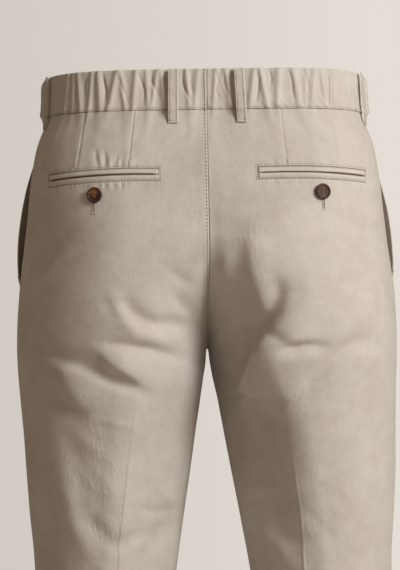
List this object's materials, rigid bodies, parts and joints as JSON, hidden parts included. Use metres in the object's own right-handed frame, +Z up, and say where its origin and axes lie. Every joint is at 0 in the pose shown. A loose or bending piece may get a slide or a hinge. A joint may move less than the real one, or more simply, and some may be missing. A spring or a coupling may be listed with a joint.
{
  "type": "chino trousers",
  "caption": "Full-length chino trousers held open as worn, with an elastic back waistband, belt loops, buttoned welt back pockets and slanted side pockets.",
  "frame": {"origin": "centre of the waist opening, half way up the waistband", "axes": "+Z up out of the waist, +Y towards the wearer's front where the fly is, +X towards the wearer's right"},
  "size_m": [0.4019, 0.2748, 1.0862],
  "materials": {
    "chino_twill": "garment-washed cotton twill, matt",
    "brown_button": "horn-effect, polished",
    "zip_tape": "woven tape",
    "zip_metal": "antique"
  },
  "bodies": {
    "root": {"back_left": "chino_twill", "front_left": "chino_twill", "waistband_back_left": "chino_twill", "waistband_front_left": "chino_twill", "pocket_facing_left": "chino_twill", "belt_loop_back_left": "chino_twill", "belt_loop_side_left": "chino_twill", "belt_loop_front_left": "chino_twill", "welt_upper_left": "chino_twill", "welt_lower_left": "chino_twill", "back_right": "chino_twill", "front_right": "chino_twill", "waistband_back_right": "chino_twill", "waistband_front_right": "chino_twill", "pocket_facing_right": "chino_twill", "belt_loop_back_right": "chino_twill", "belt_loop_side_right": "chino_twill", "belt_loop_front_right": "chino_twill", "welt_upper_right": "chino_twill", "welt_lower_right": "chino_twill", "fly_facing": "chino_twill", "pocket_button_left": "brown_button", "pocket_button_right": "brown_button", "waist_button": "brown_button", "zip_tape_left": "zip_tape", "zip_tape_right": "zip_tape", "zip_chain": "zip_metal", "zip_slider": "zip_metal"}
  },
  "joints": []
}
